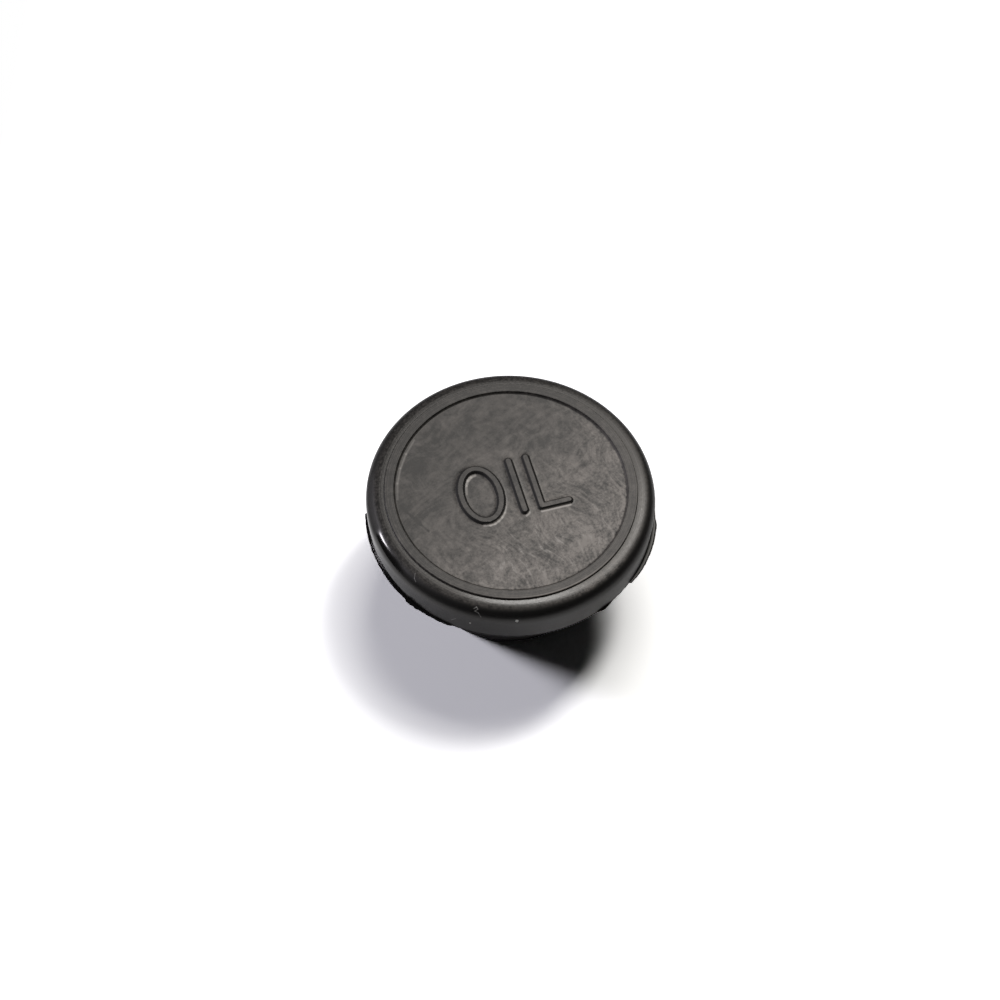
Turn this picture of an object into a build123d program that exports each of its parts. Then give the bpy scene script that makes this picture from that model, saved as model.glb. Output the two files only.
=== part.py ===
from build123d import *
import os
from math import cos, radians, sin, tan

os.makedirs("parts", exist_ok=True)

# Push-in oil filler cap: one moulding of black rubber, a round head on a hollow plug.
# Millimetres, +Z up. The origin is on the plug's axis, at its lower end, where the cap stands.
# The word on the face runs along +X.

# Head
head_diameter = 50.2        # at the shoulder, the widest place of the bare rim
head_height = 7.4           # from the seat face up to the flat face
shoulder_width = 2.2        # rounded shoulder between the face and the side, across
shoulder_height = 3.0       # and down
side_draft = 3.0            # degrees that the side leans in, down to the parting line

# Raised ring around the face
rim_land = 1.0              # level strip between the shoulder and the ring
ring_width = 1.6            # across its top
ring_rise = 0.4             # above the face
ring_slope = 0.3            # run of the ring's sloping inner wall
ring_edge_round = 0.15

# Plug below the head
plug_diameter = 41.6        # of its straight upper part, squeezed by the collar of the filler hole
plug_length = 18.5          # from the seat face down to the plug's end
foot_diameter = 31.2        # at the plug's end, narrow enough to find the hole
taper_height = 11.0         # how far up from its end the plug is tapered
plug_wall = 3.2             # at the plug's end
taper_round = 1.2           # where the taper runs into the straight part
foot_round = 0.6            # outer edge of the plug's end
mouth_round = 0.6           # inner edge of the plug's end
face_thickness = 4.2        # rubber between the flat face and the hollow
hollow_round = 2.0          # corner where the hollow's wall meets its roof

# Raised word on the face
letter_height = 11.5
letter_stroke = 1.2
letter_rise = 0.55
letter_gap = 1.9
o_width = 7.9
o_overshoot = 0.3           # by which the round letter is taller than the straight ones
l_width = 6.0
word_shift = 0.35           # the word stands this far above the middle of the face
word_aside = 0.12           # and this far to its right
letter_edge_round = 0.2
letter_foot_round = 0.25

# Mould flash: a thin torn fin at the parting line, left on in three places
flash_thickness = 0.22
flash_reach = 0.52          # mean reach of a whole fin beyond the rim's lower edge
flash_ragged = 0.15         # share of the reach by which the torn edge wanders
flash_root = 0.5            # how far the fin's root lies inside the rim
flash_step = 3.0            # degrees between the points of the torn edge
flash_ripples = 11, 29      # ripples around the whole rim, two sets that mix
flash_taper = 2.0           # degrees over which a fin runs out at its end
flash_spans = ((165.5, 231.0), (309.5, 368.0), (290.5, 299.0))

# Levels and radii that follow
seat_z = plug_length
face_z = seat_z + head_height
ring_z = face_z + ring_rise
roof_z = face_z - face_thickness
head_radius = head_diameter / 2
shoulder_z = face_z - shoulder_height
parting_radius = head_radius - (shoulder_z - seat_z) * tan(radians(side_draft))
land_radius = head_radius - shoulder_width
ring_outer = land_radius - rim_land
ring_inner = ring_outer - ring_width
foot_radius = foot_diameter / 2
plug_radius = plug_diameter / 2
hollow_radius = foot_radius - plug_wall


def corner(centre_r, centre_z, radius, angle):
    """Point at an angle on a rounded corner of the section."""
    return (centre_r + radius * cos(radians(angle)), centre_z + radius * sin(radians(angle)))


def section_arc(centre_r, centre_z, radius, start, end):
    """Rounded corner of the section, as an arc through its middle."""
    middle = (start + end) / 2
    ends = [corner(centre_r, centre_z, radius, angle) for angle in (start, middle, end)]
    return ThreePointArc(*ends)


def cap_body():
    """Head, ring and hollow plug: half the section, turned about the axis."""
    edge = ring_edge_round
    with BuildPart() as body:
        with BuildSketch(Plane.XZ):
            with BuildLine():
                Line((0, roof_z), (0, face_z))
                Line((0, face_z), (ring_inner - ring_slope, face_z))
                Line((ring_inner - ring_slope, face_z), (ring_inner, ring_z))
                Line((ring_inner, ring_z), (ring_outer - edge, ring_z))
                section_arc(ring_outer - edge, ring_z - edge, edge, 90, 0)
                Line((ring_outer, ring_z - edge), (ring_outer, face_z))
                Line((ring_outer, face_z), (land_radius, face_z))
                EllipticalCenterArc((land_radius, shoulder_z), shoulder_width, shoulder_height)
                Line((head_radius, shoulder_z), (parting_radius, seat_z))
                Line((parting_radius, seat_z), (plug_radius, seat_z))
                Line((plug_radius, seat_z), (plug_radius, taper_height))
                Line((plug_radius, taper_height), (foot_radius, 0))
                Line((foot_radius, 0), (hollow_radius + mouth_round, 0))
                section_arc(hollow_radius + mouth_round, mouth_round, mouth_round, 270, 180)
                Line((hollow_radius, mouth_round), (hollow_radius, roof_z - hollow_round))
                section_arc(hollow_radius - hollow_round, roof_z - hollow_round, hollow_round, 0, 90)
                Line((hollow_radius - hollow_round, roof_z), (0, roof_z))
            make_face()
            fillet(vertices().sort_by_distance((ring_inner, ring_z))[0], ring_edge_round)
            fillet(vertices().sort_by_distance((plug_radius, taper_height))[0], taper_round)
            fillet(vertices().sort_by_distance((foot_radius, 0))[0], foot_round)
        revolve(axis=Axis.Z)
    return body.part


def raised_word():
    """The word OIL in plain round-ended strokes, standing up from the face."""
    word_width = o_width + letter_gap + letter_stroke + letter_gap + l_width
    o_height = letter_height + o_overshoot
    o_x = word_aside - word_width / 2 + o_width / 2
    i_x = o_x + o_width / 2 + letter_gap + letter_stroke / 2
    l_left = i_x + letter_stroke / 2 + letter_gap
    foot_y = word_shift - letter_height / 2 + letter_stroke / 2
    with BuildPart() as word:
        with BuildSketch(Plane.XY.offset(face_z)):
            with Locations((o_x, word_shift)):
                Ellipse(o_width / 2, o_height / 2)
                Ellipse(o_width / 2 - letter_stroke, o_height / 2 - letter_stroke, mode=Mode.SUBTRACT)
            with Locations((i_x, word_shift), (l_left + letter_stroke / 2, word_shift)):
                SlotOverall(letter_height, letter_stroke, rotation=90)
            with Locations((l_left + l_width / 2, foot_y)):
                SlotOverall(l_width, letter_stroke)
        extrude(amount=letter_rise)
        fillet(word.faces().sort_by(Axis.Z)[-3:].edges(), letter_edge_round)
    return word.part


def flash_edge(angle, start, end):
    """Reach of the torn fin at an angle: it wanders, and runs out at both ends."""
    from_end = min(angle - start, end - angle) / min(flash_taper, (end - start) / 2)
    wander = sum(sin(radians(ripples * angle)) for ripples in flash_ripples) / len(flash_ripples)
    return flash_reach * min(1.0, from_end) * (1 + flash_ragged * wander)


def flash_fin(start, end):
    """One stretch of flash: a thin flat fin between the rim and its torn edge."""
    count = max(2, round((end - start) / flash_step))
    angles = [start + (end - start) * i / count for i in range(count + 1)]
    root_radius = parting_radius - flash_root
    inner = [(root_radius * cos(radians(a)), root_radius * sin(radians(a))) for a in angles]
    torn = [parting_radius + flash_edge(a, start, end) for a in angles]
    outer = [(r * cos(radians(a)), r * sin(radians(a))) for r, a in zip(torn, angles)]
    with BuildPart() as fin:
        with BuildSketch(Plane.XY.offset(seat_z)):
            Polygon(*outer, *reversed(inner), align=None)
        extrude(amount=flash_thickness)
    return fin.part


filler_cap = cap_body() + raised_word()
for span in flash_spans:
    filler_cap += flash_fin(*span)

# Small hollow rounding where the letters rise from the face, which ends at the ring
face_level = filler_cap.edges().filter_by_position(Axis.Z, face_z, face_z)
letter_feet = [edge for edge in face_level if edge.bounding_box().max.X < ring_inner - 2 * ring_slope]
filler_cap = filler_cap.fillet(letter_foot_round, letter_feet)

filler_cap.label = "filler_cap"
export_step(filler_cap, "parts/filler_cap.step")
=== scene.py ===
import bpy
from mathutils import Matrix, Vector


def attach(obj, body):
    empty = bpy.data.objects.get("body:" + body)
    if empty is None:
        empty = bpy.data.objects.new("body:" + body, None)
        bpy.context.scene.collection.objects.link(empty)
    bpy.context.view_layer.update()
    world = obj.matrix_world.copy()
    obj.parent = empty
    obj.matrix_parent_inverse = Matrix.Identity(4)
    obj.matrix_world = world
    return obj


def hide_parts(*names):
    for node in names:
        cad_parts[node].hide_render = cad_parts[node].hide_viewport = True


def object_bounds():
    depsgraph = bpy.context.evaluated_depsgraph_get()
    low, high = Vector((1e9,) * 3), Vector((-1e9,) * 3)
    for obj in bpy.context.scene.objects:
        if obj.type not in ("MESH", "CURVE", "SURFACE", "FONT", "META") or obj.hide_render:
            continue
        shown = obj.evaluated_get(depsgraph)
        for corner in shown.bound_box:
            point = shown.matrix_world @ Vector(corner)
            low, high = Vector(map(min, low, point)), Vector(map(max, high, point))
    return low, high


bl_info = {
    "name": "Oil filler cap",
    "version": (1, 0, 0),
    "blender": (4, 5, 0),
    "location": "View3D > Sidebar > Filler Cap",
    "description": "Moulds a push-in rubber oil filler cap and stands it on a white table",
    "category": "Add Mesh",
}

from math import cos, pi, radians, sin, tan
from types import SimpleNamespace

import bpy
import numpy as np
from bpy.props import FloatProperty, FloatVectorProperty, PointerProperty
from mathutils import Matrix, Vector

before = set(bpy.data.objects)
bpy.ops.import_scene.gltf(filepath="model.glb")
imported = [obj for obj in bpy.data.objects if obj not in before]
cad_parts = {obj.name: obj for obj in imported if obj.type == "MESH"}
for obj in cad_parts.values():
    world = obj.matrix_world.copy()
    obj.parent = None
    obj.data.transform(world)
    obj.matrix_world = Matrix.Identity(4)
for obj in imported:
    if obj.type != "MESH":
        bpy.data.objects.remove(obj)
cad_low, cad_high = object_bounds()

MM = 0.001
SENSOR_WIDTH = 36


def length(label, description, millimetres):
    """Property for a length, given in millimetres and kept in metres."""
    return FloatProperty(
        name=label, description=description, default=millimetres * MM, unit="LENGTH", precision=5
    )


def angle(label, description, degrees):
    """Property for an angle, given in degrees and kept in radians."""
    return FloatProperty(
        name=label, description=description, default=radians(degrees), subtype="ANGLE"
    )


def number(label, description, value):
    """Property for a plain number that may pass 1."""
    return FloatProperty(name=label, description=description, default=value)


def share(label, description, value):
    """Property for a share of 1, such as a roughness or a lamp's level."""
    return FloatProperty(
        name=label, description=description, default=value, subtype="FACTOR", soft_min=0, soft_max=1
    )


def colour(label, description, value):
    """Property for a linear colour."""
    return FloatVectorProperty(
        name=label, description=description, default=value, subtype="COLOR", soft_min=0, soft_max=1
    )


class HeadSizes(bpy.types.PropertyGroup):
    """The round head with its shoulder and the raised ring on its face."""

    diameter: length("Diameter", "Across the shoulder", 50.2)
    ring_top: length("Ring top", "Height of the ring's top above the table", 26.3)
    height: length("Height", "From the seat face up to the flat face", 7.4)
    crown: length("Crown", "Width of the crowned rim between the ring and the side", 3.2)
    shoulder: length("Shoulder", "How far the crowned rim falls to the side", 3.0)
    bulge: number("Bulge", "Power of the crowned rim's curve, 2 being an ellipse", 2.6)
    draft: angle("Draft", "Lean of the side, inwards and down to the parting line", 3)
    ring_width: length("Ring width", "Width of the raised ring", 1.6)
    ring_slope: length("Ring slope", "Run of the ring's sloping inner wall", 0.3)
    ring_rise: length("Ring rise", "Height of the ring above the face", 0.4)
    ring_edge: length("Ring edge", "Rounding of the ring's top edges", 0.15)
    ring_foot: length("Ring foot", "Hollow rounding where the face meets the ring", 0.45)
    groove: length("Groove", "Hollow rounding outside the ring", 0.1)
    wave: length("Wave", "Height of the slow waves that moulding left in the face", 0.012)


class PlugSizes(bpy.types.PropertyGroup):
    """The hollow plug below the head, straight at its top and tapered below."""

    diameter: length("Diameter", "Across the straight upper part", 41.6)
    foot: length("Foot", "Diameter of the plug's end", 31.2)
    taper: length("Taper", "How far up from its end the plug is tapered", 11.0)
    wall: length("Wall", "Thickness of the wall at the plug's end", 3.2)
    taper_round: length("Taper round", "Where the taper runs into the straight part", 1.2)
    foot_round: length("Foot round", "Outer edge of the plug's end", 0.6)
    mouth_round: length("Mouth round", "Inner edge of the plug's end", 0.6)
    root_round: length("Root round", "Corner between the plug and the seat face", 0.2)
    roof: length("Roof", "Rubber between the flat face and the hollow", 4.2)
    roof_round: length("Roof round", "Corner of the hollow under its roof", 2.0)


class WordSizes(bpy.types.PropertyGroup):
    """The raised word on the face, in round-ended strokes."""

    height: length("Height", "Height of the straight letters", 11.5)
    overshoot: length("Overshoot", "By which the round letter is taller", 0.3)
    o_drop: length("Drop of O", "By which the round letter stands lower", 0.2)
    stroke: length("Stroke", "Width of a stroke halfway up its side", 1.2)
    rise: length("Rise", "Height of the letters above the face", 0.55)
    gap: length("Gap", "Space between letters", 1.9)
    o_width: length("Width of O", "Overall width of the round letter", 7.9)
    l_width: length("Width of L", "Overall width of the last letter", 6.0)
    shift: length("Shift", "How far the word stands above the middle of the face", 0.35)
    aside: length("Aside", "How far it stands right of the middle", 0.12)
    flank: length("Flank", "Width over which a stroke's side rises", 0.36)
    foot_reach: length("Foot reach", "Width of the soft fillet at a stroke's foot", 0.9)
    foot_rise: length("Foot rise", "Height of the soft fillet at a stroke's foot", 0.14)
    margin: length("Margin", "Fine patch of the face around the word", 1.4)
    cell: length("Cell", "Width of a face of the fine patch", 0.096)


class FlashSizes(bpy.types.PropertyGroup):
    """The thin ragged fin that the mould's joint left on the rim's lower edge."""

    thickness: length("Thickness", "Thickness of the fin at its root", 0.22)
    stub: length("Stub", "Reach of what is left where the fin was trimmed off", 0.04)
    ragged: length("Ragged", "How far the torn edge wanders", 0.03)


class RubberLooks(bpy.types.PropertyGroup):
    """Colours and gloss of the rubber and of what lies on it, and the colour of highlights painted on it."""

    bare: colour("Bare rubber", "Clean black rubber", (0.007, 0.0066, 0.0063))
    film: colour("Film", "Brown film on the face", (0.168, 0.151, 0.136))
    scuff: colour("Scuffs", "Paler scuffs in the film", (0.25, 0.232, 0.214))
    # This colour is a painted highlight, laid at the feet of the letters and of the ring.
    painted_highlight: colour("Residue", "Dried residue at the feet of the letters", (0.36, 0.335, 0.31))
    lint: colour("Lint", "Bits of lint on the rim", (0.75, 0.73, 0.7))
    lint_cover: share("Lint cover", "How far a bit of lint hides the rubber", 0.22)
    dust: colour("Dust", "Specks of dust on the rim", (0.9, 0.88, 0.84))
    chalk: colour("Chalk", "Dull bloom on the plug", (0.012, 0.011, 0.011))
    face_rough: share("Face roughness", "Roughness of the sunk face", 0.5)
    ring_rough: share("Ring roughness", "Roughness of the raised ring", 0.5)
    crown_rough: share("Crown roughness", "Roughness of the rim's crown", 0.4)
    side_rough: share("Side roughness", "Roughness of the rim's shoulder and side", 0.42)
    polish: share("Polish", "By how much the polished place is less rough", 0.29)
    rub: share("Rub", "By how much the rubbed place is rougher", 0.22)
    specular: share("Specular", "Strength of the rubber's reflection", 0.42)
    specular_tint: colour("Specular tint", "Tint of the rubber's reflection", (1.0, 0.965, 0.93))
    coat_rough: share("Coat roughness", "Roughness of the thin coat on the near crown", 0.2)
    bump: share("Bump", "Strength of the fine grain", 0.4)
    bump_height: length("Bump height", "Height of the fine grain", 0.02)


class FillerCapSettings(bpy.types.PropertyGroup):
    """All settings of the cap."""

    head: PointerProperty(type=HeadSizes)
    plug: PointerProperty(type=PlugSizes)
    word: PointerProperty(type=WordSizes)
    flash: PointerProperty(type=FlashSizes)
    rubber: PointerProperty(type=RubberLooks)


class StageSettings(bpy.types.PropertyGroup):
    """Table, lamps, room and camera."""

    elevation: angle("Elevation", "Height of the camera's line of sight", 57.99)
    turn: angle("Turn", "Turn of the word from the picture's level", 18)
    roll: angle("Roll", "Roll of the camera", 2.24)
    distance: length("Distance", "From the camera to the middle of the ring", 425)
    aside: length("Aside", "How far the ring's middle lies right of the picture's middle", 1.824)
    above: length("Above", "How far the ring's middle lies above the picture's middle", 2.12)
    lens: FloatProperty(name="Lens", description="Focal length", default=88.74, unit="CAMERA")
    lamp_distance: length("Lamp distance", "From the lamps to the cap", 2500)
    key_azimuth: angle("Key azimuth", "Turn of the key lamp from the picture's right", 54.2)
    key_elevation: angle("Key elevation", "Height of the key lamp", 56.6)
    key_width: angle("Key width", "How wide the key lamp looks from the cap", 10.2)
    key_height: angle("Key height", "How high the key lamp looks from the cap", 16.1)
    key_level: share("Key level", "Light of the key lamp on the table, 1 being white", 0.345)
    key_colour: colour("Key colour", "Tint of the key lamp", (1.0, 0.99, 0.97))
    soft_azimuth: angle("Soft azimuth", "Turn of the wide soft lamp from the picture's right", 72.3)
    soft_elevation: angle("Soft elevation", "Height of the wide soft lamp", 63)
    soft_width: angle("Soft width", "How wide the soft lamp looks from the cap", 25.9)
    soft_height: angle("Soft height", "How high the soft lamp looks from the cap", 22.3)
    soft_level: share("Soft level", "Light of the soft lamp on the table, 1 being white", 0.386)
    fill_azimuth: angle("Fill azimuth", "Turn of the fill lamp from the picture's right", 169.5)
    fill_elevation: angle("Fill elevation", "Height of the fill lamp", 30.4)
    fill_width: angle("Fill width", "How wide the fill lamp looks from the cap", 11.3)
    fill_height: angle("Fill height", "How high the fill lamp looks from the cap", 11.0)
    fill_level: share("Fill level", "Light of the fill lamp on the table, 1 being white", 0.284)
    fill_colour: colour("Fill colour", "Tint of the fill lamp", (0.98, 0.97, 1.07))
    room: share("Room", "Level of the dark room around", 0.006)
    paper_half: length("Paper half", "Half the width of the white table paper", 105)
    paper_front: length("Paper front", "How far the paper reaches towards the camera", 102)
    paper_back: length("Paper back", "How far the paper reaches away from the camera", 195)
    table: share("Table", "Pale table as the cap sees it", 0.9)
    table_seen: number("Table seen", "Table as the camera sees it, too pale to show a tone", 1.5)


class Wire:
    """A node's output that plain arithmetic can use: each operation adds one Math node."""

    def __init__(self, bench, socket):
        self.bench = bench
        self.socket = socket

    def math(self, operation, first, second):
        return self.bench.node("ShaderNodeMath", {"operation": operation}, {0: first, 1: second})

    def __add__(self, other):
        return self.math("ADD", self, other)

    def __radd__(self, other):
        return self.math("ADD", other, self)

    def __sub__(self, other):
        return self.math("SUBTRACT", self, other)

    def __rsub__(self, other):
        return self.math("SUBTRACT", other, self)

    def __mul__(self, other):
        return self.math("MULTIPLY", self, other)

    def __rmul__(self, other):
        return self.math("MULTIPLY", other, self)

    def step(self, low, high):
        """0 below low, 1 above high and a smooth ramp between; high below low turns it round."""
        inputs = {"Value": self, "From Min": low, "From Max": high}
        return self.bench.node("ShaderNodeMapRange", {"interpolation_type": "SMOOTHSTEP"}, inputs)


class Bench:
    """The node tree of a material or a world, with one method that adds any node."""

    flat = 1000.0  # size in height of a mapped pattern, so large that height does not change it

    def __init__(self, owner):
        owner.use_nodes = True
        self.owner = owner
        self.tree = owner.node_tree
        self.tree.nodes.clear()

    def node(self, kind, settings=None, inputs=None, output=0):
        """Adds a node, sets it up, fills or links its inputs, and returns one of its outputs."""
        made = self.tree.nodes.new(kind)
        for name, value in (settings or {}).items():
            setattr(made, name, value)
        for name, value in (inputs or {}).items():
            if isinstance(value, Wire):
                self.tree.links.new(value.socket, made.inputs[name])
            else:
                made.inputs[name].default_value = value
        return Wire(self, made.outputs[output]) if made.outputs else None

    def blend(self, factor, first, second):
        """Colour that goes from first to second as the factor goes from 0 to 1. A Mix node's sockets for
        numbers, vectors and colours share their names, so those for colours are given by place."""
        paints = {0: factor, 6: self.paint(first), 7: self.paint(second)}
        return self.node("ShaderNodeMix", {"data_type": "RGBA"}, paints, 2)

    def paint(self, value):
        """A colour of three numbers gets its alpha; a wire stays as it is."""
        return value if isinstance(value, Wire) else (*value, 1.0)

    def noise(self, vector, scale, detail, roughness):
        """Smooth noise around zero."""
        inputs = {"Vector": vector, "Scale": scale, "Detail": detail, "Roughness": roughness}
        return self.node("ShaderNodeTexNoise", None, inputs) - 0.5

    def warp(self, vector, scale, amount):
        """The vector moved about by slow noise, so that what reads it flows."""
        inputs = {"Vector": vector, "Scale": scale, "Detail": 1.0}
        drift = self.node("ShaderNodeTexNoise", None, inputs, "Color")
        centred = self.node("ShaderNodeVectorMath", {"operation": "SUBTRACT"}, {0: drift, 1: (0.5,) * 3})
        inputs = {0: centred, 1: (amount, amount, 0), 2: vector}
        return self.node("ShaderNodeVectorMath", {"operation": "MULTIPLY_ADD"}, inputs)

    def map(self, vector, centre, sizes, turn=0):
        """The vector measured from a centre, along turned axes and in the given sizes."""
        inputs = {
            "Vector": vector,
            "Location": (*centre, 0),
            "Rotation": (0, 0, radians(turn)),
            "Scale": (*sizes, self.flat),
        }
        return self.node("ShaderNodeMapping", {"vector_type": "TEXTURE"}, inputs)

    def span(self, vector):
        """Length of a vector."""
        return self.node("ShaderNodeVectorMath", {"operation": "LENGTH"}, {0: vector}, 1)

    def away(self, vector, point):
        """Distance from a point."""
        return self.node("ShaderNodeVectorMath", {"operation": "DISTANCE"}, {0: vector, 1: point}, 1)

    def along(self, vector, way):
        """How far a vector reaches along a direction."""
        return self.node("ShaderNodeVectorMath", {"operation": "DOT_PRODUCT"}, {0: vector, 1: way}, 1)

    def strand(self, vector, start, end):
        """Distance from a straight strand between two points, measured to its nearest point."""
        run = Vector(end) - Vector(start)
        lengthwise = self.along(vector, run / run.length_squared) - run.dot(start) / run.length_squared
        part = self.node("ShaderNodeClamp", None, {0: lengthwise})
        parts = self.node("ShaderNodeCombineXYZ", None, {0: part, 1: part, 2: part})
        inputs = {0: parts, 1: run, 2: start}
        nearest = self.node("ShaderNodeVectorMath", {"operation": "MULTIPLY_ADD"}, inputs)
        return self.away(vector, nearest)

    def strokes(self, vector, marks):
        """Soft strokes added up, each given by its two ends, its width and its amount."""
        return sum(
            amount * self.strand(vector, (*start, 0), (*end, 0)).step(width, 0)
            for start, end, width, amount in marks
        )

    def spot(self, vector, centre, sizes, turn=0):
        """Soft oval patch, 1 in its middle and 0 outside."""
        return self.span(self.map(vector, centre, sizes, turn)).step(1.0, 0.2)

    def stretch(self, vector, factors):
        """The vector with each coordinate multiplied by its own factor."""
        return self.node("ShaderNodeVectorMath", {"operation": "MULTIPLY"}, {0: vector, 1: factors})

    def finish(self, shader, output="ShaderNodeOutputMaterial"):
        """Ends the tree and returns the material or world that owns it."""
        self.node(output, None, {"Surface": shader})
        return self.owner


def rounded_section(corners):
    """Section line through corners (radius, height, rounding, steps): each inner corner becomes the arc
    that touches both its sides. Returns the points and, at each, the normal out of the rubber."""
    points = np.array([corner[:2] for corner in corners])
    runs = np.diff(points, axis=0)
    runs /= np.linalg.norm(runs, axis=1)[:, None]
    normals = np.column_stack((-runs[:, 1], runs[:, 0]))
    line = [points[:1]]
    outward = [normals[:1]]
    for i, (_, _, rounding, steps) in enumerate(corners[1:-1]):
        start, end = np.arctan2(normals[i:i + 2, 1], normals[i:i + 2, 0])
        bend = (end - start + pi) % (2 * pi) - pi
        side = -np.sign(bend)
        trim = rounding * tan(abs(bend) / 2)
        centre = points[i + 1] - trim * runs[i] - side * rounding * normals[i]
        turns = start + bend * np.linspace(0, 1, steps + 1)
        arc = np.column_stack((np.cos(turns), np.sin(turns)))
        line.append(centre + side * rounding * arc)
        outward.append(arc)
    line.append(points[-1:])
    outward.append(normals[-1:])
    return np.vstack(line), np.vstack(outward)


def ramp(values, low, high):
    """Smooth ramp from 0 at low to 1 at high."""
    t = np.clip((values - low) / (high - low), 0, 1)
    return t * t * (3 - 2 * t)


def capsule(x, y, start, end, width):
    """Distance from the outline of a round-ended stroke: from its middle line, less half the width."""
    run = np.subtract(end, start)
    along = np.clip(((x - start[0]) * run[0] + (y - start[1]) * run[1]) / (run @ run), 0, 1)
    return np.hypot(x - start[0] - along * run[0], y - start[1] - along * run[1]) - width / 2


def oval(x, y, half_width, half_height):
    """Distance from an ellipse, to first order: its equation divided by the slope of that equation."""
    least_slope = 1e-6
    value = (x / half_width) ** 2 + (y / half_height) ** 2 - 1
    slope = 2 * np.hypot(x / half_width**2, y / half_height**2)
    return value / np.maximum(slope, least_slope)


def word_distance(x, y, word):
    """Distance from the outline of the nearest stroke, below zero inside it."""
    total = word.o_width + word.gap + word.stroke + word.gap + word.l_width
    half = word.height / 2
    half_stroke = word.stroke / 2
    o_middle = word.aside + (word.o_width - total) / 2
    i_middle = o_middle + word.o_width / 2 + word.gap + half_stroke
    l_upright = i_middle + word.stroke + word.gap
    l_end = l_upright - half_stroke + word.l_width - half_stroke
    top = word.shift + half - half_stroke
    foot = word.shift - half + half_stroke
    o_half = half + word.overshoot / 2
    o_level = word.shift - word.o_drop
    outer = oval(x - o_middle, y - o_level, word.o_width / 2, o_half)
    inner = oval(x - o_middle, y - o_level, word.o_width / 2 - word.stroke, o_half - word.stroke)
    letters = (
        np.maximum(outer, -inner),
        capsule(x, y, (i_middle, foot), (i_middle, top), word.stroke),
        capsule(x, y, (l_upright, foot), (l_upright, top), word.stroke),
        capsule(x, y, (l_upright, foot), (l_end, foot), word.stroke),
    )
    return np.minimum.reduce(letters)


# Waves in the face: how fast each one runs across and along it, and its phase
WAVES = (
    (9.1, 2.3, 0.4),
    (-7.3, 5.2, 1.9),
    (3.1, 12.7, 0.0),
)


def face_height(x, y, head, word):
    """Height of the face: slow waves that die out towards the ring, and the letters, each a plateau with
    a steep straight flank and a low soft fillet around its foot."""
    calm_from, calm_to = 0.7, 0.97
    edge = head.diameter / 2 - head.crown - head.ring_width
    u, v = x / edge, y / edge
    waves = sum(np.sin(across * u + along * v + phase) for across, along, phase in WAVES)
    calm = 1 - ramp(np.hypot(u, v), calm_from, calm_to)
    distance = word_distance(x, y, word)
    plateau = np.clip(0.5 - distance / word.flank, 0, 1)
    fillet = np.clip(1 - np.maximum(distance, 0) / word.foot_reach, 0, 1) ** 2
    letters = word.rise * plateau + word.foot_rise * fillet * (1 - plateau)
    return head.wave / len(WAVES) * waves * calm + letters


# Corners of the fin's torn edge: degrees and a reach in millimetres, or none where it was trimmed off
TORN_EDGE = (
    (165.3, None), (165.6, 0.47), (181, 0.45), (183, 0.52), (185, 0.45), (196, 0.42), (198, 0.48),
    (208.5, 0.43), (209.5, 0.7), (212, 0.71), (213, 0.51), (214.2, 0.66), (216, 0.52), (219, 0.43),
    (229, 0.36), (231, None),
    (290.5, None), (292, 0.3), (294, 0.46), (295, 0.33), (298, 0.15), (299.5, None),
    (309.3, None), (309.7, 0.43), (312, 0.5), (316, 0.7), (328, 0.9), (339, 0.9), (342, 0.6),
    (366, 0.45), (369, None),
)


def flash_reach(turn, flash):
    """Reach of the fin around the rim: straight runs between the corners of its torn edge, with only the
    stub left where it was trimmed off, plus three sets of fine ripples, of which two swell and fade."""
    corners = [degrees for degrees, _ in TORN_EDGE]
    reaches = [flash.stub if reach is None else reach * MM for _, reach in TORN_EDGE]
    whole = np.interp(np.degrees(turn), corners, reaches, period=360)
    steady = np.sin(61 * turn + 0.6)
    swelling = np.sin(97 * turn + 2.1) * np.sin(11 * turn)
    finest = np.sin(151 * turn) * np.sin(7 * turn)
    return whole + flash.ragged / 2 * (steady + swelling + finest)


def crowned_rim(inner, outer, top, drop, bulge):
    """Quarter of a superellipse from the ring over to the side: the two shares of its width and its drop,
    each raised to the bulge, add up to one. It starts a little way out, past the groove. Returns the points
    and the normals."""
    first_turn, steps = 0.12, 20
    turns = np.linspace(first_turn, pi / 2, steps)
    across, up = np.sin(turns) ** (2 / bulge), np.cos(turns) ** (2 / bulge)
    line = np.column_stack((inner + (outer - inner) * across, top - drop * (1 - up)))
    normal = np.column_stack((across ** (bulge - 1) / (outer - inner), up ** (bulge - 1) / drop))
    return line, normal / np.linalg.norm(normal, axis=1)[:, None]


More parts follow.
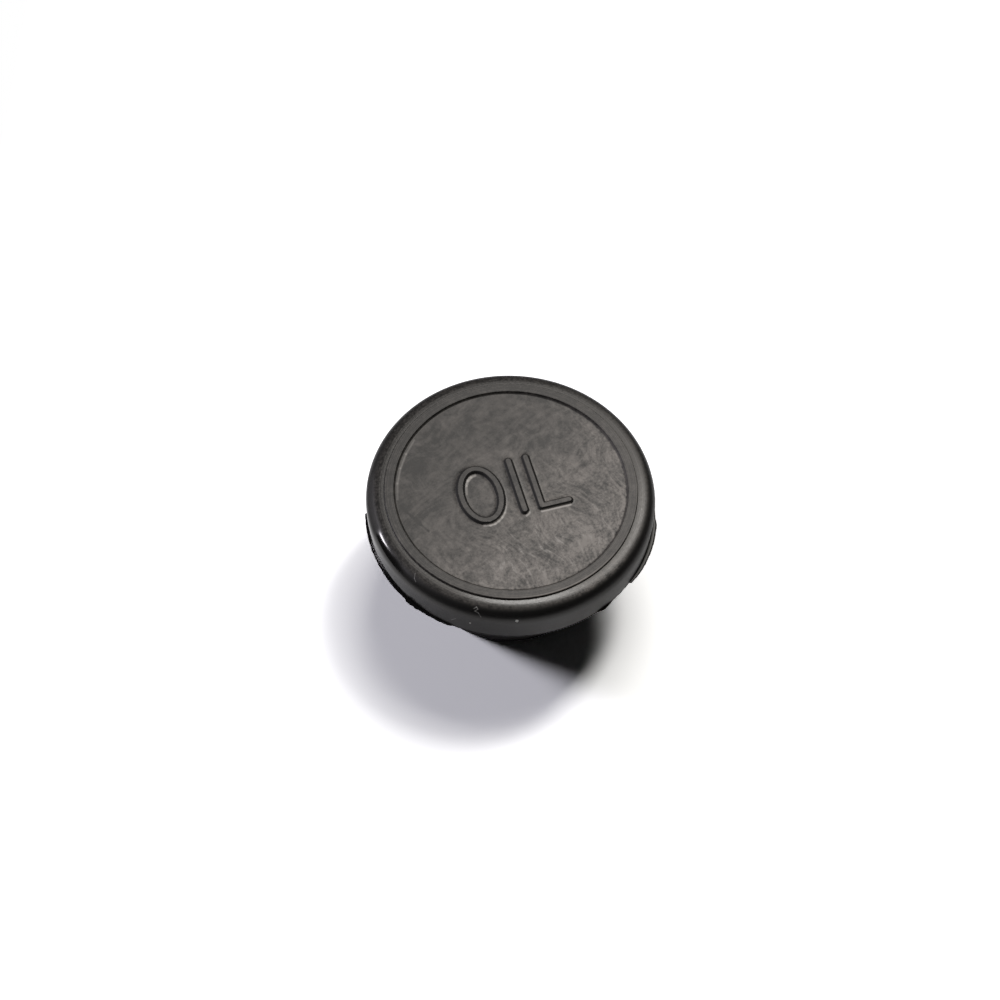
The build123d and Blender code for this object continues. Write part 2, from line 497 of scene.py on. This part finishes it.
def cap_section(head, plug, flash):
    """Half the cap's section from the face outwards, down the rim, along the plug and up into its hollow.
    Returns points of radius and height, their normals, and the share of the fin's reach that is added to
    each point's radius."""
    radius = head.diameter / 2
    face = head.ring_top - head.ring_rise
    seat = face - head.height
    ring_outer = radius - head.crown
    ring_inner = ring_outer - head.ring_width
    lean = tan(head.draft)
    shoulder_height = face - head.shoulder
    rim_foot = radius - (shoulder_height - seat) * lean
    fin_root = seat + flash.thickness
    foot = plug.foot / 2
    shank = plug.diameter / 2
    hollow = foot - plug.wall
    upper = (
        (ring_inner - head.ring_slope - head.ring_foot, face, 0, 0),
        (ring_inner - head.ring_slope, face, head.ring_foot, 6),
        (ring_inner, head.ring_top, head.ring_edge, 4),
        (ring_outer, head.ring_top, head.ring_edge, 5),
        (ring_outer, face, head.groove, 3),
        (ring_outer + 2 * head.groove, face, 0, 0),
    )
    lower = (
        (rim_foot, seat, 0, 0),
        (shank, seat, plug.root_round, 2),
        (shank, plug.taper, plug.taper_round, 6),
        (foot, 0, plug.foot_round, 4),
        (hollow, 0, plug.mouth_round, 3),
        (hollow, face - plug.roof, plug.roof_round, 5),
        (0, face - plug.roof, 0, 0),
    )
    # Rows of the fin, out along its top and back below: shares of its reach and of its thickness, and normals
    fin_out = np.array((0.25, 0.6, 0.9, 1.0, 0.95, 0.5))
    fin_up = np.array((0.86, 0.76, 0.7, 0.42, 0.14, 0.02))
    fin_normal = np.array(((0.35, 0.94), (0.2, 0.98), (0.5, 0.87), (1, 0), (0.5, -0.87), (0, -1)))
    ring_line, ring_normal = rounded_section(upper)
    rim_line, rim_normal = crowned_rim(ring_outer, radius, face, head.shoulder, head.bulge)
    upper_line = np.vstack((ring_line[:-1], rim_line, [(rim_foot + flash.thickness * lean, fin_root)]))
    upper_normal = np.vstack((ring_normal[:-1], rim_normal, [(cos(head.draft), -sin(head.draft))]))
    lower_line, lower_normal = rounded_section(lower)
    fin_line = np.column_stack((np.full_like(fin_up, rim_foot), seat + flash.thickness * fin_up))
    line = np.vstack((upper_line, fin_line, lower_line))
    normal = np.vstack((upper_normal, fin_normal, lower_normal))
    fin_share = np.concatenate((np.zeros(len(upper_line)), fin_out, np.zeros(len(lower_line))))
    return line, normal, fin_share


def boundary_loop(columns, rows):
    """Numbers of the grid's outer points, anticlockwise from the middle of its right side."""
    grid = np.arange(columns * rows).reshape(rows, columns)
    loop = np.concatenate((grid[:-1, -1], grid[-1, :0:-1], grid[:0:-1, 0], grid[0, :-1]))
    return np.roll(loop, -(rows // 2))


def quads_between(inner, outer):
    """Quads between two closed loops of point numbers, one row of them for each pair of loops."""
    quads = np.stack((inner, outer, np.roll(outer, -1, axis=-1), np.roll(inner, -1, axis=-1)), axis=-1)
    return quads.reshape(-1, 4)


def moulding_mesh(settings):
    """One closed skin. A fine rectangular grid carries the word, a web of straight lines joins its border
    to the circle inside the ring, and the section turned about the axis gives the rest, up to the pole of
    the hollow's roof."""
    head, plug, word, flash = settings.head, settings.plug, settings.word, settings.flash
    face = head.ring_top - head.ring_rise
    half_word = (word.o_width + 2 * word.gap + word.stroke + word.l_width) / 2 + word.aside
    columns = 2 * round((half_word + word.margin) / word.cell) + 1
    rows = 2 * round((word.height / 2 + word.margin) / word.cell) + 1
    across = np.linspace(-half_word - word.margin, half_word + word.margin, columns)
    along = word.shift + np.linspace(-1, 1, rows) * (word.height / 2 + word.margin)
    patch = np.stack(np.meshgrid(across, along), axis=-1).reshape(-1, 2)
    border = boundary_loop(columns, rows)
    turn = 2 * pi * np.arange(len(border)) / len(border)
    spokes = np.column_stack((np.cos(turn), np.sin(turn)))

    line, normal, fin_share = cap_section(head, plug, flash)
    if np.hypot(*patch.T).max() >= line[0, 0]:
        raise ValueError("The word and its margin have to fit inside the ring")
    web_rows = 11
    steps = np.linspace(0, 1, web_rows + 1)[1:-1, None, None]
    web = (1 - steps) * patch[border] + steps * line[0, 0] * spokes
    flat = np.vstack((patch, web.reshape(-1, 2)))
    x, y = flat.T
    step = word.cell / 4
    slope_x = face_height(x + step, y, head, word) - face_height(x - step, y, head, word)
    slope_y = face_height(x, y + step, head, word) - face_height(x, y - step, head, word)
    flat_points = np.column_stack((flat, face + face_height(x, y, head, word)))
    flat_normals = np.column_stack((-slope_x, -slope_y, np.full_like(x, 2 * step)))

    radii = line[:-1, :1] + fin_share[:-1, None] * flash_reach(turn, flash)
    heights = np.broadcast_to(line[:-1, 1:], radii.shape)
    turned = np.stack((radii * spokes[:, 0], radii * spokes[:, 1], heights), axis=-1).reshape(-1, 3)
    out = normal[:-1, :1]
    up = np.broadcast_to(normal[:-1, 1:], radii.shape)
    turned_normals = np.stack((out * spokes[:, 0], out * spokes[:, 1], up), axis=-1).reshape(-1, 3)
    pole = np.array([[0, 0, line[-1, 1]]])
    points = np.vstack((flat_points, turned, pole))
    normals = np.vstack((flat_normals, turned_normals, [[0, 0, -1]]))
    normals /= np.linalg.norm(normals, axis=1)[:, None]

    grid = np.arange(columns * rows).reshape(rows, columns)
    cells = (grid[:-1, :-1], grid[:-1, 1:], grid[1:, 1:], grid[1:, :-1])
    patch_quads = np.stack(cells, axis=-1).reshape(-1, 4)
    around = np.arange(len(patch), len(points) - 1).reshape(-1, len(border))
    loops = np.vstack((border, around))
    skin_quads = quads_between(loops[:-1], loops[1:])
    last = loops[-1]
    cap = np.column_stack((last, np.full_like(last, len(points) - 1), np.roll(last, -1)))
    low, high = np.array(cad_low), np.array(cad_high)
    mesh = bpy.data.meshes.new("rubber_moulding")
    faces = patch_quads.tolist() + skin_quads.tolist() + cap.tolist()
    mesh.from_pydata(np.clip(points, low, high).tolist(), [], faces)
    if mesh.validate():
        raise RuntimeError("The moulding's skin has faulty faces")
    mesh.shade_smooth()
    mesh.normals_split_custom_set_from_vertices(normals.tolist())
    return mesh


# Strokes on the face: two ends and a width in millimetres, and the amount of film or painted highlight they
# add
SMEARS = (
    ((-2.5, 15.0), (1.5, 13.8), 2.6, -0.06),
    ((-10.0, 12.5), (-8.5, 15.0), 0.8, -0.08),
    ((-14.5, 9.0), (-13.5, 8.0), 2.4, -0.02),
    ((-7.8, 16.2), (-3.0, 18.2), 0.5, 0.12),
    ((-18.5, 7.5), (-15.0, 4.0), 0.5, 0.1),
    ((7.0, 11.3), (11.0, 12.6), 0.6, -0.12),
    ((13.5, 10.5), (13.7, -3.0), 0.5, -0.1),
    ((5.0, 13.5), (7.0, 12.8), 1.8, 0.12),
    ((2.0, 12.0), (1.5, 7.0), 1.2, 0.1),
    ((-14.5, -3.0), (-13.0, -5.5), 3.0, 0.08),
    ((-8.5, -11.5), (-5.0, -7.2), 0.9, -0.2),
    ((-3.5, -14.0), (-0.5, -8.0), 0.6, -0.2),
    ((-6.5, -15.6), (-4.6, -14.6), 0.9, 0.4),
    ((12.2, -7.2), (13.2, -7.8), 0.5, 0.4),
    ((9.0, -12.0), (12.0, -11.0), 0.9, 0.25),
    ((0.0, -19.0), (3.0, -15.0), 0.5, 0.25),
    ((16.5, 0.0), (16.6, -7.0), 0.5, -0.12),
    ((7.5, -14.8), (9.5, -13.2), 1.6, 0.5),
    ((-7.8, -14.5), (-5.5, -13.3), 1.4, 0.25),
    ((4.5, -10.5), (6.5, -12.5), 0.6, -0.25),
    ((2.8, -13.0), (1.5, -16.0), 0.6, -0.25),
    ((3.0, -8.5), (2.2, -12.5), 0.8, 0.2),
    ((12.5, -13.0), (15.0, -10.0), 1.0, 0.25),
    ((-8.0, -16.0), (-10.5, -13.5), 0.8, 0.2),
)

SCRATCHES = (
    ((-19.1, 1.3), (-15.9, -4.4), 0.35, -0.3),
)

# Painted highlights: pale strokes just past the shadows at the feet of the letters, where their fillets would
# catch the lamps, and a little along the far side of the face, at the foot of the ring
PAINTED_HIGHLIGHTS = (
    ((3.9, -5.68), (9.0, -5.68), 0.36, 1.0),
    ((1.1, -5.85), (1.75, -5.4), 0.34, 0.7),
    ((-6.4, -5.9), (-5.4, -6.05), 0.4, 0.6),
    ((-5.4, -6.05), (-4.6, -5.95), 0.4, 0.8),
    ((-4.6, -5.95), (-3.85, -5.6), 0.4, 0.8),
    ((-3.85, -5.6), (-3.05, -5.05), 0.4, 0.7),
    ((-3.05, -5.05), (-2.35, -4.3), 0.36, 0.6),
    ((-2.35, -4.3), (-1.75, -3.2), 0.32, 0.4),
    ((-5.2, 4.35), (-6.0, 4.15), 0.36, 0.6),
    ((-6.0, 4.15), (-6.7, 3.6), 0.38, 0.8),
    ((-6.7, 3.6), (-7.2, 2.7), 0.34, 0.6),
    ((-7.2, 2.7), (-7.6, 1.0), 0.28, 0.4),
    ((-13.5, 14.2), (-15.6, 11.8), 0.34, 0.25),
    ((-15.6, 11.8), (-17.3, 9.2), 0.34, 0.3),
    ((-17.3, 9.2), (-18.6, 6.3), 0.34, 0.3),
    ((-18.6, 6.3), (-19.4, 3.2), 0.34, 0.2),
)

# Lint on the rim: the thickness of a hair and the points it runs through, in millimetres
LINT = (
    (0.06, ((-12.48, -20.68, 25.32), (-12.01, -20.63, 25.51), (-11.87, -20.98, 25.35),
            (-12.40, -21.05, 25.06), (-11.91, -21.49, 24.90), (-11.61, -22.03, 24.30))),
    (0.05, ((-20.26, -11.69, 25.71), (-20.60, -12.42, 25.39), (-20.50, -13.06, 25.19))),
    (0.05, ((-16.02, -19.16, 20.44), (-15.38, -19.75, 21.64))),
)

# Dust on the rim: the place and the reach of a speck, in millimetres
SPECKS = (
    ((-5.96, -24.25, 24.08), 0.32),
    ((-13.27, -21.23, 21.64), 0.16),
)


def rubber_zones(bench, place, head):
    """Masks of the cap's zones, 1 inside and 0 outside. Radius and height in millimetres tell them apart,
    and the normal tells the level parts of the face from the flanks of the letters."""
    face = (head.ring_top - head.ring_rise) / MM
    seat = face - head.height / MM
    ring_outer = (head.diameter / 2 - head.crown) / MM
    ring_inner = ring_outer - head.ring_width / MM
    height = bench.node("ShaderNodeSeparateXYZ", None, {0: place}, "Z")
    ground = bench.stretch(place, (1, 1, 0))
    radius = bench.span(ground)
    facing = bench.node("ShaderNodeNewGeometry", None, None, "Normal")
    raised = height.step(face + 0.2, face + 0.4)
    disc = radius.step(ring_inner - 0.2, ring_inner - 0.3)
    rim = radius.step(ring_outer - 0.05, ring_outer + 0.05)
    fillet = height.step(face + 0.015, face + 0.05) * (1 - raised)
    return SimpleNamespace(
        ground=ground,
        radius=radius,
        raised=raised,
        disc=disc,
        rim=rim,
        ring=(1 - disc) * (1 - rim),
        ring_edge=radius.step(ring_outer - 0.45, ring_outer - 0.2),
        level=bench.along(facing, (0, 0, 1)).step(0.8, 0.98),
        foot=radius.step(ring_inner, ring_inner - 0.2) * fillet,
        top=height.step(face - 1.0, face - 0.6),
        crown=rim * height.step(face - 0.5, face - 0.12),
        side=height.step(face - 0.9, face - 2.3),
        plug=height.step(seat + 0.1, seat - 0.1),
    )


def rubber_grain(bench, place, radius):
    """Noises around zero: clouds that flow, strokes drawn out in three directions by their sizes in
    millimetres, mottle, speckle and fine grain, and the fine rings of a turned mould."""
    flow = bench.warp(place, 0.11, 9.0)
    rings = {"W": radius, "Scale": 5.0, "Detail": 3.0}
    return SimpleNamespace(
        clouds=bench.noise(flow, 0.2, 4, 0.5),
        wiped=bench.noise(bench.map(flow, (0, 0), (3.6, 1.0), 28), 1.0, 3, 0.6),
        crossed=bench.noise(bench.map(flow, (3, 2), (3.2, 0.8), 112), 1.0, 3, 0.6),
        brushed=bench.noise(bench.map(flow, (1, 4), (1.5, 0.4), 62), 1.0, 2, 0.55),
        mottle=bench.noise(place, 0.7, 4, 0.6),
        speckle=bench.noise(place, 2.2, 3, 0.7),
        fine=bench.noise(place, 4.5, 3, 0.65),
        lathe=bench.node("ShaderNodeTexNoise", {"noise_dimensions": "1D"}, rings) - 0.5,
    )


def rubber_tone(bench, place, zone, grain, looks):
    """Colour of the rubber: bare black under a brown film, which is wiped about in clouds and streaks on
    the face, thicker and more scuffed towards the near right, and thin on the ring and the crown, with
    painted highlights on the ring's near outer edge and on the near right crown; then painted highlights
    at the feet of the letters and of the ring, lint and dust."""
    # Share that grows towards the near right, where the film is made thicker and paler, so that the face
    # brightens that way.
    towards_near_right = bench.along(place, (0.55, -0.83, 0)).step(-16, 18)
    scuffed = bench.spot(place, (3, -12), (17, 8), 12)
    patchy = 2.2 * grain.clouds.step(-0.12, 0.16)
    scuffs = (0.3 + towards_near_right) * (2.2 * grain.crossed + 2.4 * grain.speckle) + towards_near_right * patchy * grain.brushed
    streaks = 1.6 * grain.wiped + 2.4 * grain.clouds + 1.6 * grain.mottle + scuffs
    film = 0.15 + 0.35 * towards_near_right + 0.13 * scuffed + (0.34 + 0.3 * towards_near_right) * streaks + 0.3 * grain.fine
    film = film + bench.strokes(bench.warp(zone.ground, 0.35, 5.0), SMEARS)
    film = film + bench.strokes(zone.ground, SCRATCHES)
    sunk = zone.disc * zone.level * (1 - 0.5 * zone.raised) * film

    dirty = 0.06 + 0.6 * grain.lathe + 0.75 * grain.speckle + 0.15 * towards_near_right
    # Painted highlight: the film is paled along the ring's outer edge on the near side, where the edge's
    # rounding faces the lamps; the ring's film below carries it.
    ring_edge_glint = zone.ring_edge * bench.spot(place, (4, -21), (15, 9))
    turned = dirty + 0.7 * grain.lathe + 0.6 * grain.mottle + 0.5 * ring_edge_glint
    # Painted highlight: mottled pale patches on the near right crown, where it catches the lamps.
    crest_glint_spot = bench.spot(place, (9.5, -20.4), (9, 5)).step(0, 0.5)
    crest_glint = crest_glint_spot * (0.12 + 1.8 * grain.mottle + 1.2 * grain.speckle)
    # Share of film, which also carries the painted highlights on the ring's near edge and on the near right
    # crown.
    film_and_glints = zone.top * (sunk + zone.ring * turned) + zone.crown * (dirty + crest_glint)
    dusty = bench.blend(grain.crossed.step(0.05, 0.2) * scuffed, looks.film, looks.scuff)
    tone = bench.blend(film_and_glints, looks.bare, dusty)

    # Painted highlights: pale strokes where the feet of the letters and of the ring would catch the lamps.
    painted_highlight = bench.strokes(zone.ground, PAINTED_HIGHLIGHTS) * (1 - zone.raised) * zone.top
    tone = bench.blend(painted_highlight, tone, looks.painted_highlight)
    lint = sum(
        bench.strand(place, start, end).step(1.6 * width, 0.8 * width)
        for width, route in LINT
        for start, end in zip(route, route[1:])
    )
    tone = bench.blend(looks.lint_cover * lint, tone, looks.lint)
    dust = sum(bench.away(place, point).step(reach, 0.7 * reach) for point, reach in SPECKS)
    return bench.blend(dust, tone, looks.dust)


def rubber_gloss(bench, place, zone, grain, looks):
    """Roughness, shine and coat. Face and ring are dull. The rim is glossier, most of all at one polished
    place and down the side below it, and least where it was rubbed beside that place. The near crown has
    a thin coat."""
    near = bench.spot(place, (-5, -21.8), (14, 8))
    right = bench.spot(place, (22, 6), (9, 22), 18)
    polished = bench.spot(place, (-23.5, -4.4), (5.5, 9), 12).step(0, 0.9)
    rubbed = bench.spot(place, (-24.5, 4.5), (4, 8.5)).step(0, 0.4)
    smooth_side = bench.spot(place, (-25, -3), (18, 26))
    shine = (1 - zone.side) * polished * (1 - rubbed) + zone.side * smooth_side
    dull = looks.face_rough + 0.12 * grain.clouds + 0.1 * grain.speckle
    dull = dull - 0.08 * zone.foot + 0.25 * (1 - zone.level)
    ringed = looks.ring_rough + 0.3 * grain.lathe + 0.15 * grain.speckle
    glossy = looks.side_rough + looks.rub * rubbed * (1 - zone.side)
    glossy = glossy - looks.polish * shine + 0.15 * grain.fine * (1 - shine)
    crowned = looks.crown_rough - 0.04 * near + 0.08 * right + 0.3 * grain.speckle
    shiny = zone.crown * crowned + (1 - zone.crown) * glossy
    roughness = zone.disc * dull + zone.ring * ringed + zone.rim * shiny
    coat = zone.crown * near * (0.7 + 1.5 * grain.speckle)
    return roughness, shine, coat


def rubber_finish(settings):
    """Black moulded rubber with a fine grain, smooth where the rim shines, and a bloom on the plug."""
    looks = settings.rubber
    bench = Bench(bpy.data.materials.new("black_rubber"))
    place = bench.stretch(bench.node("ShaderNodeTexCoord", None, None, "Object"), (1 / MM,) * 3)
    zone = rubber_zones(bench, place, settings.head)
    grain = rubber_grain(bench, place, zone.radius)
    roughness, shine, coat = rubber_gloss(bench, place, zone, grain, looks)
    relief = (1 - zone.rim * shine) * (grain.speckle + 0.5 * grain.fine + grain.lathe * (1 - zone.disc))
    heights = {"Strength": looks.bump, "Distance": looks.bump_height, "Height": relief}
    inputs = {
        "Base Color": rubber_tone(bench, place, zone, grain, looks),
        "Roughness": roughness,
        "Normal": bench.node("ShaderNodeBump", None, heights),
        "Specular IOR Level": looks.specular,
        "Specular Tint": bench.paint(looks.specular_tint),
        "Coat Weight": coat,
        "Coat Roughness": looks.coat_rough,
    }
    skin = bench.node("ShaderNodeBsdfPrincipled", None, inputs)
    chalky = bench.node("ShaderNodeBsdfDiffuse", None, {"Color": bench.paint(looks.chalk)})
    bloom = (0.8 + 0.6 * grain.mottle) * zone.plug
    return bench.finish(bench.node("ShaderNodeMixShader", None, {0: bloom, 1: skin, 2: chalky}))


def table_finish(stage):
    """Pale table top: dull paper, lifted to white where the camera looks at it."""
    bench = Bench(bpy.data.materials.new("white_table"))
    seen = bench.node("ShaderNodeLightPath", None, None, "Is Camera Ray")
    paper = bench.blend(seen, (stage.table,) * 3, (stage.table_seen,) * 3)
    return bench.finish(bench.node("ShaderNodeBsdfDiffuse", None, {"Color": paper}))


def show(mesh, material):
    """Puts a finished mesh into the scene with its one material."""
    mesh.materials.append(material)
    piece = bpy.data.objects.new(mesh.name, mesh)
    bpy.context.scene.collection.objects.link(piece)
    return piece


class FILLERCAP_OT_mould(bpy.types.Operator):
    """Mould the cap: head, ring, word, flash and hollow plug in one piece of rubber"""

    bl_idname = "filler_cap.mould"
    bl_label = "Mould the cap"

    def execute(self, context):
        settings = context.scene.filler_cap
        piece = show(moulding_mesh(settings), rubber_finish(settings))
        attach(piece, "root")
        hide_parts("filler_cap")
        return {"FINISHED"}


def direction(azimuth, elevation):
    """Unit vector at an azimuth from +X and an elevation above the table."""
    return Vector((cos(azimuth) * cos(elevation), sin(azimuth) * cos(elevation), sin(elevation)))


def hang_lamp(name, stage, azimuth, elevation, spreads, level, tint):
    """Rectangular soft lamp that looks at the cap. Its power gives the wanted level on the table: a lamp of
    power P at distance d lights a white table to P over pi squared d squared, times the sine of its
    elevation."""
    if sin(elevation) <= 0:
        raise ValueError("A lamp has to hang above the table")
    towards = direction(azimuth - stage.turn, elevation)
    data = bpy.data.lights.new(name, "AREA")
    data.shape = "RECTANGLE"
    data.size, data.size_y = (2 * stage.lamp_distance * tan(spread / 2) for spread in spreads)
    data.energy = level * pi**2 * stage.lamp_distance**2 / sin(elevation)
    data.color = tint
    lamp = bpy.data.objects.new(name, data)
    lamp.location = towards * stage.lamp_distance
    lamp.rotation_euler = towards.to_track_quat("Z", "Y").to_euler()
    bpy.context.scene.collection.objects.link(lamp)


def set_camera(stage, ring_top):
    """Camera whose line of sight to the ring's middle has the wanted elevation, turned about the axis
    and rolled about the line of sight."""
    right = Vector((cos(stage.turn), -sin(stage.turn), 0))
    level = Vector((sin(stage.turn), cos(stage.turn), 0))
    down = Vector((0, 0, -1))
    forward = cos(stage.elevation) * level + sin(stage.elevation) * down
    up = sin(stage.elevation) * level - cos(stage.elevation) * down
    data = bpy.data.cameras.new("camera")
    data.lens = stage.lens
    data.sensor_width = SENSOR_WIDTH
    camera = bpy.data.objects.new("camera", data)
    place = Vector((0, 0, ring_top)) - stage.distance * forward - stage.aside * right - stage.above * up
    rolled_right = cos(stage.roll) * right + sin(stage.roll) * up
    rolled_up = cos(stage.roll) * up - sin(stage.roll) * right
    turned = Matrix((rolled_right, rolled_up, -forward)).transposed()
    camera.matrix_world = Matrix.Translation(place) @ turned.to_4x4()
    bpy.context.scene.collection.objects.link(camera)
    bpy.context.scene.camera = camera


def darken_room(stage):
    """Dark room that lights the cap a little and is white where the camera looks past the table."""
    bench = Bench(bpy.data.worlds.new("room"))
    seen = bench.node("ShaderNodeLightPath", None, None, "Is Camera Ray")
    light = bench.blend(seen, (stage.room,) * 3, (1, 1, 1))
    background = bench.node("ShaderNodeBackground", None, {"Color": light})
    bpy.context.scene.world = bench.finish(background, "ShaderNodeOutputWorld")


class FILLERCAP_OT_stage(bpy.types.Operator):
    """Set the stage: white table, three soft lamps, a dark room and the camera"""

    bl_idname = "filler_cap.stage"
    bl_label = "Set the stage"

    def execute(self, context):
        stage = context.scene.filler_cap_stage
        half, front, back = stage.paper_half, stage.paper_front, stage.paper_back
        mesh = bpy.data.meshes.new("table")
        spread = Matrix.Rotation(-stage.turn, 3, "Z")
        corners = [(-half, -front, 0), (half, -front, 0), (half, back, 0), (-half, back, 0)]
        mesh.from_pydata([spread @ Vector(corner) for corner in corners], [], [(0, 1, 2, 3)])
        show(mesh, table_finish(stage))
        hang_lamp("key_lamp", stage, stage.key_azimuth, stage.key_elevation,
                  (stage.key_width, stage.key_height), stage.key_level, stage.key_colour)
        hang_lamp("soft_lamp", stage, stage.soft_azimuth, stage.soft_elevation,
                  (stage.soft_width, stage.soft_height), stage.soft_level, stage.key_colour)
        hang_lamp("fill_lamp", stage, stage.fill_azimuth, stage.fill_elevation,
                  (stage.fill_width, stage.fill_height), stage.fill_level, stage.fill_colour)
        darken_room(stage)
        set_camera(stage, context.scene.filler_cap.head.ring_top)
        context.scene.view_settings.view_transform = "Standard"
        return {"FINISHED"}


class FILLERCAP_PT_sidebar(bpy.types.Panel):
    """Lists the operators and the settings"""

    bl_label = "Filler Cap"
    bl_idname = "FILLERCAP_PT_sidebar"
    bl_space_type = "VIEW_3D"
    bl_region_type = "UI"
    bl_category = "Filler Cap"

    def draw(self, context):
        for operator in OPERATORS:
            self.layout.operator(operator.bl_idname)
        cap = context.scene.filler_cap
        stage = context.scene.filler_cap_stage
        for group in (cap.head, cap.plug, cap.word, cap.flash, cap.rubber, stage):
            box = self.layout.box()
            for setting in type(group).__annotations__:
                box.prop(group, setting)


OPERATORS = (FILLERCAP_OT_mould, FILLERCAP_OT_stage)
GROUPS = (HeadSizes, PlugSizes, WordSizes, FlashSizes, RubberLooks, FillerCapSettings, StageSettings)
CLASSES = (*GROUPS, *OPERATORS, FILLERCAP_PT_sidebar)


def register():
    for cls in CLASSES:
        bpy.utils.register_class(cls)
    bpy.types.Scene.filler_cap = PointerProperty(type=FillerCapSettings)
    bpy.types.Scene.filler_cap_stage = PointerProperty(type=StageSettings)


def unregister():
    del bpy.types.Scene.filler_cap_stage
    del bpy.types.Scene.filler_cap
    for cls in reversed(CLASSES):
        bpy.utils.unregister_class(cls)


def main():
    register()
    bpy.ops.filler_cap.mould()
    bpy.ops.filler_cap.stage()


if __name__ == "__main__":
    main()
